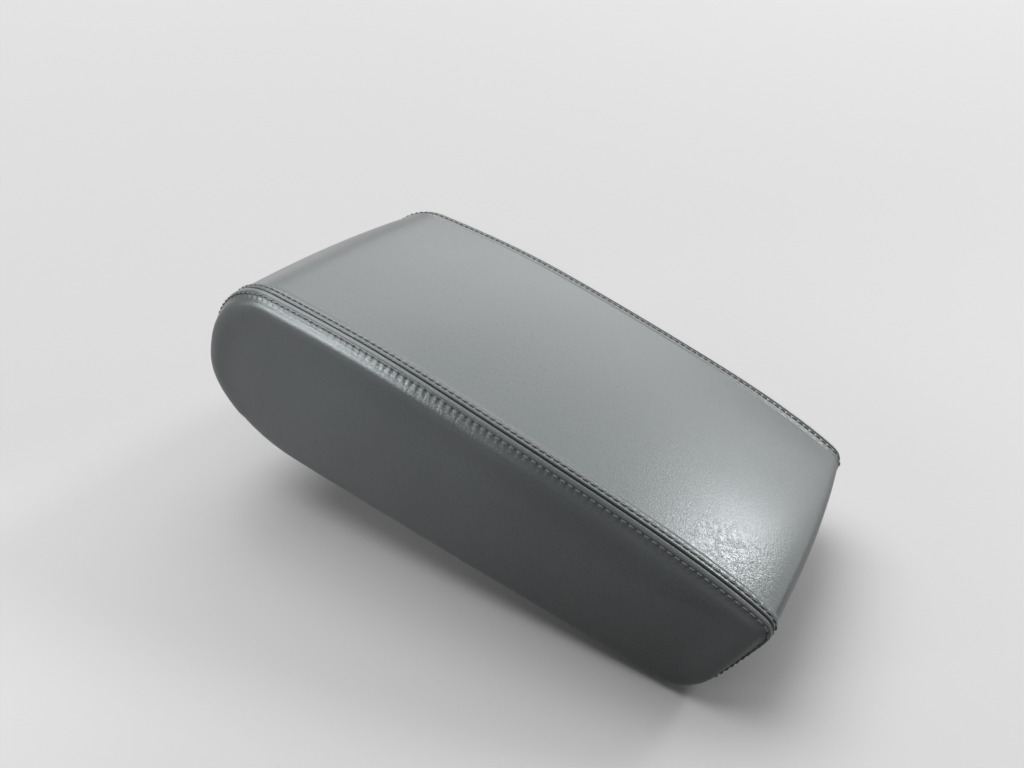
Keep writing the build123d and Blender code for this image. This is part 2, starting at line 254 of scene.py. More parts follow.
# %% [markdown]
# ## The cages
# A grid primitive has the right connections already, rows by columns. It is added at unit size, every vertex
# is put on its place on the cover, and the side panel is welded where its first and last rows meet and along
# the spine. Each vertex keeps three numbers for later: how far along the seam it is, how far in from the
# seam, and whether that part of the edge is sewn. The first two are also the UV map, in metres.

# %% Make a cage from rows of points
weld_gap = 0.05 * mm


def store(mesh, name, values):
    """Keep one number for each vertex under a name."""
    attribute = mesh.attributes.get(name) or mesh.attributes.new(name, "FLOAT", "POINT")
    attribute.data.foreach_set("value", np.asarray(values, np.float32))


def edit(piece):
    """Open one piece in edit mode with everything selected."""
    bpy.ops.object.select_all(action="DESELECT")
    piece.select_set(True)
    bpy.context.view_layer.objects.active = piece
    bpy.ops.object.mode_set(mode="EDIT")
    bpy.ops.mesh.select_all(action="SELECT")


def make_cage(name, rows, lengths, sewn, around):
    """Grid primitive laid on the cover, one row of the grid for each row of points."""
    bpy.ops.object.select_all(action="DESELECT")
    spans, steps = len(rows) - 1, len(rows[0]) - 1
    bpy.ops.mesh.primitive_grid_add(x_subdivisions=steps, y_subdivisions=spans, size=1)
    cage = bpy.context.object
    cage.name = cage.data.name = name
    place = np.empty(len(cage.data.vertices) * 3)
    cage.data.vertices.foreach_get("co", place)
    place = place.reshape(-1, 3) + 0.5
    column = np.rint(place[:, 0] * steps).astype(int)
    row = np.rint(place[:, 1] * spans).astype(int)
    table = np.array(rows)[row, column]
    cage.data.vertices.foreach_set("co", table[:, :3].ravel())
    store(cage.data, "along", np.array(lengths)[row])
    store(cage.data, "inward", table[:, 3])
    store(cage.data, "sewn", np.array(sewn, float)[row])
    corners = np.empty(len(cage.data.loops), int)
    cage.data.loops.foreach_get("vertex_index", corners)
    uv = np.column_stack([np.array(lengths)[row], table[:, 3]])[corners]
    cage.data.uv_layers[0].data.foreach_set("uv", uv.ravel())
    edit(cage)
    if around:
        bpy.ops.mesh.remove_doubles(threshold=weld_gap)
    bpy.ops.mesh.normals_make_consistent(inside=False)
    bpy.ops.object.mode_set(mode="OBJECT")
    middle = Vector((0, (spine_front + spine_rear) / 2, spine_z))
    outward = sum((p.center - middle).dot(p.normal) * p.area for p in cage.data.polygons)
    if outward < 0:
        cage.data.flip_normals()
    print(name, "faces:", len(cage.data.polygons))
    return cage


leather_top = make_cage("leather_top", strip_rows, strip_lengths - sewn_from, [1] * len(strip_rows), False)
around_lengths = np.append(side_lengths, side_lengths[-1] + stitch_length)
sewn_flags = [1 if i in sewn_rows else 0 for i in range(len(side_rays))] + [0]
leather_sides = {}
for side, word in ((-1, "left"), (1, "right")):
    closed_rows = side_rows[side] + side_rows[side][:1]
    leather_sides[side] = make_cage("leather_side_" + word, closed_rows, around_lengths, sewn_flags, True)
panels = [leather_top, *leather_sides.values()]

# %% [markdown]
# ## Swelling over the foam
# Leather over foam is never quite the shape of the mould: the foam pushes it out between the seams. Blender's
# Cloth does that with a pressure and no gravity, while the sewn edges are pinned. The amount is small on a
# firm armrest, so the movement is scaled to a cap after the simulation has been applied.

# %% Swell the panels with cloth
swell_cap = 0.9 * mm
pinned_depth = 9 * mm
cloth_pressure, cloth_quality, cloth_frames = 4, 6, 20


def read(mesh, name):
    """The numbers kept under a name."""
    values = np.empty(len(mesh.vertices), np.float32)
    mesh.attributes[name].data.foreach_get("value", values)
    return values.astype(float)


def places(mesh):
    """All vertex places as rows of x, y, z."""
    values = np.empty(len(mesh.vertices) * 3)
    mesh.vertices.foreach_get("co", values)
    return values.reshape(-1, 3)


def swell(panel):
    """Blow the panel out a little between its pinned edges."""
    rest = places(panel.data)
    along, inward = read(panel.data, "along"), read(panel.data, "inward")
    edge = inward < pinned_depth
    if panel is leather_top:
        edge |= (along < pinned_depth) | (along > sewn_to - sewn_from - pinned_depth)
    held = panel.vertex_groups.new(name="held")
    held.add(np.flatnonzero(edge).tolist(), 1.0, "REPLACE")
    cloth = panel.modifiers.new("swell", "CLOTH")
    cloth.settings.quality = cloth_quality
    cloth.settings.use_pressure = True
    cloth.settings.uniform_pressure_force = cloth_pressure
    cloth.settings.effector_weights.gravity = 0
    cloth.settings.vertex_group_mass = held.name
    cloth.point_cache.frame_end = cloth_frames
    for step in range(1, cloth_frames + 1):
        bpy.context.scene.frame_set(step)
    bpy.context.view_layer.objects.active = panel
    bpy.ops.object.modifier_apply(modifier=cloth.name)
    moved = places(panel.data) - rest
    most = np.linalg.norm(moved, axis=1).max()
    moved *= min(1, swell_cap / max(most, 1e-9))
    panel.data.vertices.foreach_set("co", (rest + moved).ravel())
    panel.vertex_groups.clear()
    print(panel.name, "swelled by %.2f mm, kept to %.2f mm" % (most / mm, min(most, swell_cap) / mm))


for panel in panels:
    swell(panel)
bpy.context.scene.frame_set(1)

# %% [markdown]
# ## From cage to leather
# Two levels of Subdivision Surface turn the cage into a dense smooth skin with four rows to a stitch. The
# stored numbers are interpolated along with the places, so every new vertex still knows where it lies.


# %% Subdivide the panels
def finish_with(piece, kind, **settings):
    """Add one modifier with its settings and apply it."""
    step = piece.modifiers.new(kind.lower(), kind)
    for name, value in settings.items():
        setattr(step, name, value)
    bpy.context.view_layer.objects.active = piece
    bpy.ops.object.modifier_apply(modifier=step.name)


for panel in panels:
    finish_with(panel, "SUBSURF", levels=2, render_levels=2, boundary_smooth="PRESERVE_CORNERS")
    print(panel.name, "faces:", len(panel.data.polygons))

# %% [markdown]
# ## The sewn relief
# Where two panels are sewn, their edges are folded under and stitched down on both sides of the seam. The
# doubled leather lies a little proud, so its hidden edge shows as a faint line. At the seam itself there is a
# narrow groove, and under each row of thread a shallow channel, pulled deeper at every needle hole. Below the
# seam the side panel has a padded edge, is pulled flat over the shoulder, and then bulges into a full wall. All
# of it is a height above the smooth skin, so each vertex is moved along its normal by a sum of simple bumps. A
# displacement texture could do this too, but a formula of the distance from the seam keeps the bumps in step
# with the thread.

# %% Heights of the sewn relief
top_row, side_row = 2.7 * mm, 3.9 * mm
top_channel, side_channel = 0.06 * mm, 0.2 * mm
top_allowance, side_allowance = 4.8 * mm, 8 * mm
top_fade, side_fade = 2.2 * mm, 16 * mm
doubled_rise, seam_lap = 0.55 * mm, 0.35 * mm
groove_depth, groove_width = 1.2 * mm, 0.42 * mm
hole_depth, channel_width = 0.4 * mm, 0.6 * mm
puff_rise, puff_reach, puff_width = 0.12 * mm, 1.8 * mm, 1.1 * mm


def bump_at(distance, centre, width):
    """Smooth bump of height one."""
    return np.exp(-(((distance - centre) / width) ** 2))


def soft_step(value, low, high):
    """Smooth rise from nought to one."""
    share = np.clip((value - low) / (high - low), 0, 1)
    return share * share * (3 - 2 * share)


def needle_holes(along):
    """One at each needle hole and nought between."""
    phase = along / stitch_length
    return bump_at(np.abs(phase - np.rint(phase)), 0, 0.22)


def sewn_height(along, inward, row, channel, allowance, fade):
    """Height of the leather at the seam: doubled edge, groove, thread channel, needle holes and puffs."""
    hole = needle_holes(along)
    height = doubled_rise * (1 - soft_step(inward, allowance, allowance + fade))
    height -= groove_depth * bump_at(inward, 0, groove_width)
    height -= (channel + hole_depth * hole) * bump_at(inward, row, channel_width)
    height += puff_rise * (1 - 2 * hole) * bump_at(inward, row + puff_reach, puff_width)
    return height


# %% The shoulder, the lap under the seam and the foam
padded_edge, padded_at, padded_width = 0.35 * mm, 3 * mm, 1.5 * mm
flat_depth, flat_at, flat_width = 0.75 * mm, 6.2 * mm, 2.6 * mm
wall_rise, wall_from, wall_full = 1.1 * mm, 4 * mm, 15 * mm
wall_until, wall_end = 14 * mm, 31 * mm
shoulder_fade, seam_run = 40 * mm, stitches * stitch_length
rim_depth = 0.05 * mm
foam_rise, foam_wave, foam_from = 0.35 * mm, 55 * mm, 12 * mm
foam_seed = 11.7


def shoulder_height(inward):
    """Height of the side leather near the seam: a padded edge, pulled flat below it, and a full wall."""
    height = padded_edge * bump_at(inward, padded_at, padded_width)
    height -= flat_depth * bump_at(inward, flat_at, flat_width)
    height += wall_rise * soft_step(inward, wall_from, wall_full) * (1 - soft_step(inward, wall_until, wall_end))
    return height


def lap(mesh, place, inward, sewn):
    """Shift of the sewn edge past the seam line, so that the two panels close the groove."""
    shift, rim = np.zeros_like(place), (inward < rim_depth) & (sewn > 0.5)
    for edge in mesh.edges:
        a, b = edge.vertices
        if rim[a] != rim[b]:
            a, b = (a, b) if rim[a] else (b, a)
            out = place[a] - place[b]
            shift[a] = out / np.linalg.norm(out) * seam_lap
    return shift


def foam_height(place, seed):
    """The slow unevenness of foam."""
    aside = Vector((seed, 0, 0))
    return foam_rise * np.array([noise.noise(Vector(p) / foam_wave + aside) for p in place])


# %% Raise the relief
for count, panel in enumerate(panels, 1):
    mesh = panel.data
    place, along, inward, sewn = places(mesh), read(mesh, "along"), read(mesh, "inward"), read(mesh, "sewn")
    normal = np.empty(len(mesh.vertices) * 3)
    mesh.vertices.foreach_get("normal", normal)
    sewn = np.clip(sewn, 0, 1)
    if panel is leather_top:
        height = sewn_height(along, inward, top_row, top_channel, top_allowance, top_fade) * sewn
    else:
        height = sewn_height(along, inward, side_row, side_channel, side_allowance, side_fade) * sewn
        ends = soft_step(along, 0, shoulder_fade) * (1 - soft_step(along, seam_run - shoulder_fade, seam_run))
        height += shoulder_height(inward) * ends * sewn
    height += foam_height(place, foam_seed * count) * soft_step(inward, 0, foam_from)
    place = place + lap(mesh, place, inward, sewn)
    mesh.vertices.foreach_set("co", (place + normal.reshape(-1, 3) * height[:, None]).ravel())
    mesh.update()
    print(panel.name, "relief from %.2f to %.2f mm" % (height.min() / mm, height.max() / mm))

# %% [markdown]
# ## Painted shade, creases and wear
# Three more numbers go on the vertices for the finish. The first, for painted shade, is one in the groove and the
# needle holes and darkens the colour there, where light hardly reaches. "crease" is high on the shoulder, where the
# leather is pulled over the edge and gathers in short lines across the seam. "worn" marks the front corner that an
# elbow rests on, and where the leather has broken into fine wrinkles.

# %% Mark painted shade, creases and wear
worn_x, worn_y, worn_across, worn_length = -62 * mm, 12 * mm, 24 * mm, 30 * mm
creased_y, creased_length = 165 * mm, 75 * mm
hole_shade_strength, hole_reach = 0.8, 0.65 * mm
top_crease, top_crease_at, top_crease_width = 0.12, 7 * mm, 4 * mm
side_crease, side_crease_at, side_crease_width = 0.25, 8 * mm, 5 * mm
for panel in panels:
    mesh = panel.data
    place, along, inward, sewn = places(mesh), read(mesh, "along"), read(mesh, "inward"), read(mesh, "sewn")
    row = top_row if panel is leather_top else side_row
    # Painted shade: the colour is darkened in the needle holes of the thread row and along the groove.
    painted_shade = hole_shade_strength * needle_holes(along) * bump_at(inward, row, hole_reach)
    painted_shade += bump_at(inward, 0, groove_width)
    store(mesh, "painted_shade", np.clip(painted_shade * sewn, 0, 1))
    if panel is leather_top:
        crease = top_crease * bump_at(inward, top_crease_at, top_crease_width)
        worn = bump_at(place[:, 0], worn_x, worn_across) * bump_at(place[:, 1], worn_y, worn_length)
    else:
        gathered = side_crease + (1 - side_crease) * bump_at(place[:, 1], creased_y, creased_length)
        crease = bump_at(inward, side_crease_at, side_crease_width) * gathered
        worn = np.zeros(len(place))
    store(mesh, "crease", crease * np.clip(sewn, 0, 1))
    store(mesh, "worn", worn)
    print(panel.name, "mean crease %.3f, mean wear %.3f" % (crease.mean(), worn.mean()))

# %% [markdown]
# ## Thread
# Each stitch is a short bead of thread that goes down into a needle hole at both ends. One is modelled from a
# sphere: drawn out to its length, then its ends pulled down. It is copied along each of the four rows, and
# laid by the position and normal of the leather under it, so the thread follows every bend of the seam.

# %% Model one stitch
stitch_bead, stitch_dip = 0.4 * mm, 0.5 * mm
stitch_half = 0.43 * stitch_length
thread_rise = 0.3 * mm
bpy.ops.object.select_all(action="DESELECT")
bpy.ops.mesh.primitive_uv_sphere_add(segments=8, ring_count=6, radius=1, rotation=(0, math.pi / 2, 0))
stitch = bpy.context.object
stitch.name = "stitch"
bpy.ops.object.transform_apply(location=False, rotation=True, scale=False)
stitch.scale = (stitch_half, stitch_bead, stitch_bead)
bpy.ops.object.transform_apply(location=False, rotation=False, scale=True)
for vertex in stitch.data.vertices:
    vertex.co.z -= stitch_dip * (vertex.co.x / stitch_half) ** 4
bpy.ops.object.shade_smooth()
print("faces in one stitch:", len(stitch.data.polygons))


# %% Lay the stitches along a row
row_reach, row_neighbours, row_blur = 2 * mm, 6, 0.05 * mm
stitch_start, stitch_middle, stitch_end = 0.15, 0.5, 0.85


def thread_rows(panel, side, row):
    """Copies of the stitch along one edge of a panel, joined into one piece."""
    mesh = panel.data
    place, along, inward, sewn = places(mesh), read(mesh, "along"), read(mesh, "inward"), read(mesh, "sewn")
    near = np.flatnonzero((np.abs(inward - row) < row_reach) & (sewn > 0.5) & (place[:, 0] * side >= 0))
    tree = KDTree(len(near))
    for i in near:
        tree.insert((along[i], inward[i], 0), int(i))
    tree.balance()

    def spot(s):
        """Place and normal of the leather on the thread row at one length."""
        found = tree.find_n((s, row, 0), row_neighbours)
        weights = [1 / (gap + row_blur) for _, _, gap in found]
        nearby = [mesh.vertices[i] for _, i, _ in found]
        where = sum((v.co * w for v, w in zip(nearby, weights)), Vector()) / sum(weights)
        up = sum((v.normal * w for v, w in zip(nearby, weights)), Vector())
        return where, up.normalized()

    copies = []
    for n in range(stitches):
        back, _ = spot((n + stitch_start) * stitch_length)
        front, _ = spot((n + stitch_end) * stitch_length)
        where, up = spot((n + stitch_middle) * stitch_length)
        run = (front - back).normalized()
        across = up.cross(run).normalized()
        up = run.cross(across)
        turn = Matrix((run, across, up)).transposed().to_4x4()
        copy = stitch.copy()
        copy.data = stitch.data.copy()
        copy.data.transform(Matrix.Translation(where + up * thread_rise) @ turn)
        bpy.context.scene.collection.objects.link(copy)
        copies.append(copy)
    bpy.ops.object.select_all(action="DESELECT")
    for copy in copies:
        copy.select_set(True)
    bpy.context.view_layer.objects.active = copies[0]
    bpy.ops.object.join()
    return bpy.context.object


threads = {}
for side, word in ((-1, "left"), (1, "right")):
    threads["thread_top_" + word] = thread_rows(leather_top, side, top_row)
    threads["thread_side_" + word] = thread_rows(leather_sides[side], side, side_row)
for name, row in threads.items():
    row.name = row.data.name = name
    print(name, "faces:", len(row.data.polygons))
bpy.data.objects.remove(stitch)

# %% [markdown]
# ## Thickness and place
# Armrest leather with its backing is about 2 mm thick. Solidify gives the panels that wall, inward, so the
# outside stays where it is. Then panels and thread go from the bench to their place in the frame, with the
# place in the mesh and the objects at the origin.

# %% Give the leather its wall and put it in place
leather_wall = 1.8 * mm
for panel in panels:
    finish_with(panel, "SOLIDIFY", thickness=leather_wall, offset=-1)
    panel.data.shade_smooth()
for piece in panels + list(threads.values()):
    piece.data.transform(to_frame)
    piece.data.update()
print("triangles in the leather:", [sum(len(f.vertices) - 2 for f in p.data.polygons) for p in panels])

# %% [markdown]
# ## Leather finish
# Automotive leather is dyed, pressed with a fine pebble grain and sealed with a satin coat. Up close one sees
# small cells with creases between them, pores, gathers that run out from the seams, and wrinkles where it is
# worn. The cells are a Voronoi pattern of edges, bent by noise so that no cell looks drawn. The gathers are
# noise stretched along the UV map, where one axis follows the seam, and the "crease" number keeps them near it.
# The wrinkles are distorted noise, kept to the worn corner by the "worn" number. The same number rubs the grain
# shallower there and makes the coat shinier, which is what an elbow does to leather.


# %% Helper for node materials
def new_finish(name, **sockets):
    """Material with a Principled shader whose constant sockets are set directly."""
    material = bpy.data.materials.new(name)
    material.use_nodes = True
    shader = material.node_tree.nodes["Principled BSDF"]
    for socket, value in sockets.items():
        shader.inputs[socket.replace("_", " ")].default_value = value
    return material, shader


def add(material, kind, values=None, links=None, **settings):
    """One node with its settings, socket values and incoming links."""
    tree = material.node_tree
    node = tree.nodes.new(kind)
    for name, value in settings.items():
        setattr(node, name, value)
    for socket, value in (values or {}).items():
        node.inputs[socket].default_value = value
    for socket, source in (links or {}).items():
        tree.links.new(source, node.inputs[socket])
    return node


def link(material, source, target):
    """Connect an output to an input."""
    material.node_tree.links.new(source, target)


def ramp(material, source, *stops):
    """Colour ramp through stops of place and colour."""
    node = add(material, "ShaderNodeValToRGB", links={"Fac": source})
    while len(node.color_ramp.elements) < len(stops):
        node.color_ramp.elements.new(0.5)
    for element, (place, colour) in zip(node.color_ramp.elements, stops):
        element.position = place
        element.color = colour
    return node.outputs["Color"]


def remap(material, source, low, high, to_low, to_high):
    """Number moved from one range to another, with soft ends."""
    node = add(
        material,
        "ShaderNodeMapRange",
        {"From Min": low, "From Max": high, "To Min": to_low, "To Max": to_high},
        {"Value": source},
        interpolation_type="SMOOTHSTEP",
    )
    return node.outputs["Result"]


def grey(value, tint=(1, 1, 1)):
    """Colour of one lightness with a tint."""
    return (value * tint[0], value * tint[1], value * tint[2], 1)


# %% Leather material
leather_tint = (0.94, 1.0, 1.02)
coat_tint = (0.9, 0.99, 1.0, 1)
leather, shader = new_finish("charcoal_leather", IOR=1.5, Specular_IOR_Level=0.5, Specular_Tint=coat_tint)
where = add(leather, "ShaderNodeTexCoord")
marks = {
    name: add(leather, "ShaderNodeAttribute", attribute_name=name).outputs["Fac"]
    for name in ("painted_shade", "crease", "worn")
}
bend = add(leather, "ShaderNodeTexNoise", {"Scale": 300.0, "Detail": 2.0}, {"Vector": where.outputs["Object"]})
bent = add(
    leather,
    "ShaderNodeVectorMath",
    {1: (0.0011, 0.0011, 0.0011)},
    {0: bend.outputs["Color"], 2: where.outputs["Object"]},
    operation="MULTIPLY_ADD",
)
cells = add(
    leather,
    "ShaderNodeTexVoronoi",
    {"Scale": 640.0},
    {"Vector": bent.outputs["Vector"]},
    feature="DISTANCE_TO_EDGE",
)
grain = remap(leather, cells.outputs["Distance"], 0.0, 0.22, 0.0, 1.0)
pores = add(leather, "ShaderNodeTexNoise", {"Scale": 2600.0, "Detail": 2.0}, {"Vector": where.outputs["Object"]})
stretch = add(leather, "ShaderNodeMapping", {"Scale": (480.0, 70.0, 1.0)}, {"Vector": where.outputs["UV"]})
gathers = add(leather, "ShaderNodeTexNoise", {"Scale": 1.0, "Detail": 2.0}, {"Vector": stretch.outputs["Vector"]})
wrinkles = add(
    leather,
    "ShaderNodeTexNoise",
    {"Scale": 270.0, "Detail": 3.0, "Roughness": 0.6, "Distortion": 1.6},
    {"Vector": where.outputs["Object"]},
)
folds = []
for pattern, mark in ((gathers, "crease"), (wrinkles, "worn")):
    held = add(leather, "ShaderNodeMath", links={0: pattern.outputs["Fac"], 1: marks[mark]}, operation="MULTIPLY")
    folds.append(held.outputs["Value"])
cloud = add(leather, "ShaderNodeTexNoise", {"Scale": 14.0, "Detail": 4.0}, {"Vector": where.outputs["Object"]})
tone = ramp(
    leather,
    cloud.outputs["Fac"],
    (0.3, grey(0.05, leather_tint)),
    (0.7, grey(0.06, leather_tint)),
)
dark = add(
    leather,
    "ShaderNodeMix",
    {7: grey(0.035, leather_tint)},
    {0: remap(leather, grain, 0.0, 0.5, 0.5, 0.0), 6: tone},
    data_type="RGBA",
)
# Painted shade: the colour goes almost black in the groove and the needle holes, where light hardly reaches.
shaded_seam = add(leather, "ShaderNodeMix", {7: grey(0.012)}, {0: marks["painted_shade"], 6: dark.outputs[2]}, data_type="RGBA")
link(leather, shaded_seam.outputs[2], shader.inputs["Base Color"])
gloss = remap(leather, cloud.outputs["Fac"], 0.3, 0.7, 0.31, 0.36)
rubbed = add(leather, "ShaderNodeMix", {3: 0.24}, {0: marks["worn"], 2: gloss}, data_type="FLOAT")
link(leather, rubbed.outputs[0], shader.inputs["Roughness"])
kept = add(leather, "ShaderNodeMath", {1: -0.5, 2: 1.0}, {0: marks["worn"]}, operation="MULTIPLY_ADD")
fine = []
for pattern in (grain, pores.outputs["Fac"]):
    faded = add(leather, "ShaderNodeMath", links={0: pattern, 1: kept.outputs["Value"]}, operation="MULTIPLY")
    fine.append(faded.outputs["Value"])
relief = None
for source, strength, depth in (
    (folds[0], 0.4, 0.0004),
    (folds[1], 0.55, 0.0005),
    (fine[0], 0.25, 0.0001),
    (fine[1], 0.25, 0.00003),
):
    bump = add(leather, "ShaderNodeBump", {"Strength": strength, "Distance": depth}, {"Height": source})
    if relief:
        link(leather, relief.outputs["Normal"], bump.inputs["Normal"])
    relief = bump
link(leather, relief.outputs["Normal"], shader.inputs["Normal"])
for panel in panels:
    panel.data.materials.clear()
    panel.data.materials.append(leather)
print("leather nodes:", len(leather.node_tree.nodes))

# %% [markdown]
# ## Thread finish
# The thread is bonded polyester and twisted; its colour is set a little lighter than the leather as painted sheen
# for its smooth, rounded strands. The twist is a wave across the UV map of each bead, in its colour and its bump.

# %% Thread material
thread, shader = new_finish("sewing_thread", Roughness=0.5, Specular_IOR_Level=0.5, Sheen_Weight=0.2)
where = add(thread, "ShaderNodeTexCoord")
twist = add(
    thread,
    "ShaderNodeTexWave",
    {"Scale": 3.0, "Distortion": 0.6},
    {"Vector": where.outputs["UV"]},
    bands_direction="DIAGONAL",
)
# Painted sheen: the thread's colour is set a little lighter than the leather's.
link(thread, ramp(thread, twist.outputs["Fac"], (0.0, grey(0.045)), (1.0, grey(0.09))), shader.inputs["Base Color"])
bump = add(thread, "ShaderNodeBump", {"Strength": 0.5, "Distance": 0.0001}, {"Height": twist.outputs["Fac"]})
link(thread, bump.outputs["Normal"], shader.inputs["Normal"])
for row in threads.values():
    row.data.materials.clear()
    row.data.materials.append(thread)

# %% [markdown]
# ## The pieces stand for their solids
# Leather and thread move with the lid. Each panel hides the plain solid that it stands for.

# %% Tie the leather to the lid
stands_for = {
    leather_top: "cover_top",
    leather_sides[-1]: "cover_side_left",
    leather_sides[1]: "cover_side_right",
}
for panel, node in stands_for.items():
    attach(panel, "lid")
    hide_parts(node)
for row in threads.values():
    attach(row, "lid")

# %% [markdown]
# ## Plastics, rubber, foam and metal
# The other pieces keep their solids and get a finish each. Moulded plastic has a fine spark-eroded grain,
# rubber is matt and a little dusty, foam is full of cells, and metal shows its plating or paint with faint
# wear. They differ in colour, gloss, and the size and depth of their grain, so one function makes them all.


# %% One function for hard and soft finishes
def grained(name, low, high, rough, grain_size, grain_depth, cell=False, **sockets):
    """Finish with two tones, a roughness range and a grain of a given size in metres."""
    material, shader = new_finish(name, **sockets)
    where = add(material, "ShaderNodeTexCoord").outputs["Object"]
    cloud = add(material, "ShaderNodeTexNoise", {"Scale": 25.0, "Detail": 6.0}, {"Vector": where})
    if cell:
        grain = add(material, "ShaderNodeTexVoronoi", {"Scale": 1 / grain_size}, {"Vector": where})
        height = grain.outputs["Distance"]
    else:
        grain = add(material, "ShaderNodeTexNoise", {"Scale": 1 / grain_size, "Detail": 3.0}, {"Vector": where})
        height = grain.outputs["Fac"]
    link(material, ramp(material, cloud.outputs["Fac"], (0.35, low), (0.65, high)), shader.inputs["Base Color"])
    link(material, remap(material, cloud.outputs["Fac"], 0.3, 0.7, *rough), shader.inputs["Roughness"])
    bump = add(material, "ShaderNodeBump", {"Strength": 0.6, "Distance": grain_depth}, {"Height": height})
    link(material, bump.outputs["Normal"], shader.inputs["Normal"])
    return material


moulded = (0.0007, 0.00008)
finishes = {
    "foam": grained("pad_foam", (0.5, 0.42, 0.25, 1), (0.6, 0.52, 0.33, 1), (0.85, 0.95), 0.0016, 0.0005, True),
    "tray": grained("tray_plastic", grey(0.018), grey(0.03), (0.45, 0.6), *moulded),
    "trim": grained("trim_plastic", grey(0.022), grey(0.034), (0.55, 0.7), 0.0009, 0.00014, True),
    "lever": grained("lever_plastic", grey(0.015), grey(0.024), (0.35, 0.5), *moulded),
    "zinc": grained(
        "zinc_plate", (0.6, 0.61, 0.58, 1), (0.74, 0.74, 0.7, 1), (0.28, 0.42), 0.0005, 0.00002, Metallic=1.0
    ),
    "bracket": grained("bracket_paint", grey(0.012), grey(0.022), (0.3, 0.45), 0.0016, 0.00006),
    "bronze": grained(
        "bush_bronze", (0.5, 0.33, 0.15, 1), (0.62, 0.43, 0.22, 1), (0.3, 0.45), 0.0006, 0.00003, Metallic=1.0
    ),
    "nylon": grained("washer_nylon", grey(0.62, (1, 0.98, 0.9)), grey(0.72, (1, 0.98, 0.92)), (0.4, 0.5), *moulded),
    "rubber": grained("bumper_rubber", grey(0.012), grey(0.028), (0.7, 0.85), 0.0008, 0.0001),
}
finish_of = {
    "foam": ["foam_pad"],
    "tray": ["core_tray"],
    "trim": ["lower_cover"],
    "lever": ["latch_lever"],
    "zinc": [
        "lower_cover_screws",
        "hinge_leaf",
        "leaf_screws",
        "hinge_pin",
        "pin_clip",
        "latch_pin",
    ],
    "bracket": ["hinge_bracket"],
    "bronze": ["bush_left", "bush_right"],
    "nylon": ["washer_left", "washer_right"],
    "rubber": ["bumper_front_left", "bumper_front_right", "bumper_rear_left", "bumper_rear_right"],
}
for finish, nodes in finish_of.items():
    for node in nodes:
        solid = frame["nodes"][node].data
        solid.materials.clear()
        solid.materials.append(finishes[finish])
print("finished nodes:", sum(len(nodes) for nodes in finish_of.values()))

# %% [markdown]
# ## The release spring
# A bent strip of spring steel sits between the tray and the release paddle and pushes the paddle back. When the
# paddle is pressed, the top of the strip stays under the tray and its foot goes with the paddle. The solid of
# the frame is stiff and its foot would come through the paddle, so the strip is modelled again with short faces.
# It is drawn as by hand: one vertex is extruded along the line, the corners are rounded, the line is extruded to a
# ribbon, and the ribbon gets its thickness.

# %% Model the strip
spring_bend, spring_edge = 3 * mm, 0.12 * mm
bend_steps, run_cuts = 6, 3
stem_y, knee_z, seat_y = 27 * mm, 14 * mm, 34 * mm
solid = [to_bench @ v.co for v in frame["nodes"]["latch_spring"].data.vertices]
spring_half, spring_end = max(p.x for p in solid), max(p.y for p in solid)
spring_t = 2 * (stem_y - min(p.y for p in solid))
top_z = max(p.z for p in solid) - spring_t / 2
foot_z = min(p.z for p in solid) + spring_t / 2
toe_y = seat_y - 2 * spring_bend
bends = ((spring_end, top_z), (stem_y, top_z), (stem_y, knee_z), (toe_y, foot_z), (seat_y, foot_z))
line = [Vector((-spring_half, y, z)) for y, z in bends]
bpy.ops.object.select_all(action="DESELECT")
bpy.ops.mesh.primitive_plane_add(size=mm)
spring = bpy.context.object
spring.name = spring.data.name = "bent_spring"
edit(spring)
bpy.ops.mesh.merge(type="CENTER")
bpy.ops.transform.translate(value=line[0])
for here, there in zip(line, line[1:]):
    bpy.ops.mesh.extrude_vertices_move(TRANSFORM_OT_translate={"value": there - here})
bpy.ops.mesh.select_all(action="SELECT")
bpy.ops.mesh.bevel(affect="VERTICES", offset=spring_bend, segments=bend_steps)
bpy.ops.mesh.select_all(action="SELECT")
bpy.ops.mesh.subdivide(number_cuts=run_cuts)
bpy.ops.mesh.select_all(action="SELECT")
bpy.ops.mesh.extrude_edges_move(TRANSFORM_OT_translate={"value": (2 * spring_half, 0, 0)})
bpy.ops.object.mode_set(mode="OBJECT")
finish_with(spring, "SOLIDIFY", thickness=spring_t, offset=0)
finish_with(spring, "BEVEL", width=spring_edge, segments=2, limit_method="ANGLE")
edit(spring)
bpy.ops.mesh.normals_make_consistent(inside=False)
bpy.ops.object.mode_set(mode="OBJECT")
spring.data.transform(to_frame)
spring.data.materials.append(finishes["zinc"])
print("spring strip %.2f mm thick, faces: %d" % (spring_t / mm, len(spring.data.polygons)))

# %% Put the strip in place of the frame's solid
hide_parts("latch_spring")
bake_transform(spring)
for corner, place in (("lowest", min), ("highest", max)):
    print(corner, "point of the strip: %.4f m" % place(v.co.z for v in spring.data.vertices))

# %% [markdown]
# ## Floor and light
# A plain pale floor carries the shadow. It is pale to the camera and in reflections, and darker to the light
# that bounces off it, so the side of the armrest keeps its depth. Satin leather shows the light around it, so
# each wide far light is placed where one face mirrors it: the top, its far edge, the front edge and the worn
# corner. One soft box with a grid reaches only the shoulder under the seam. A ring of many lamps would be
# simpler, but it would light all faces alike and hide the form.

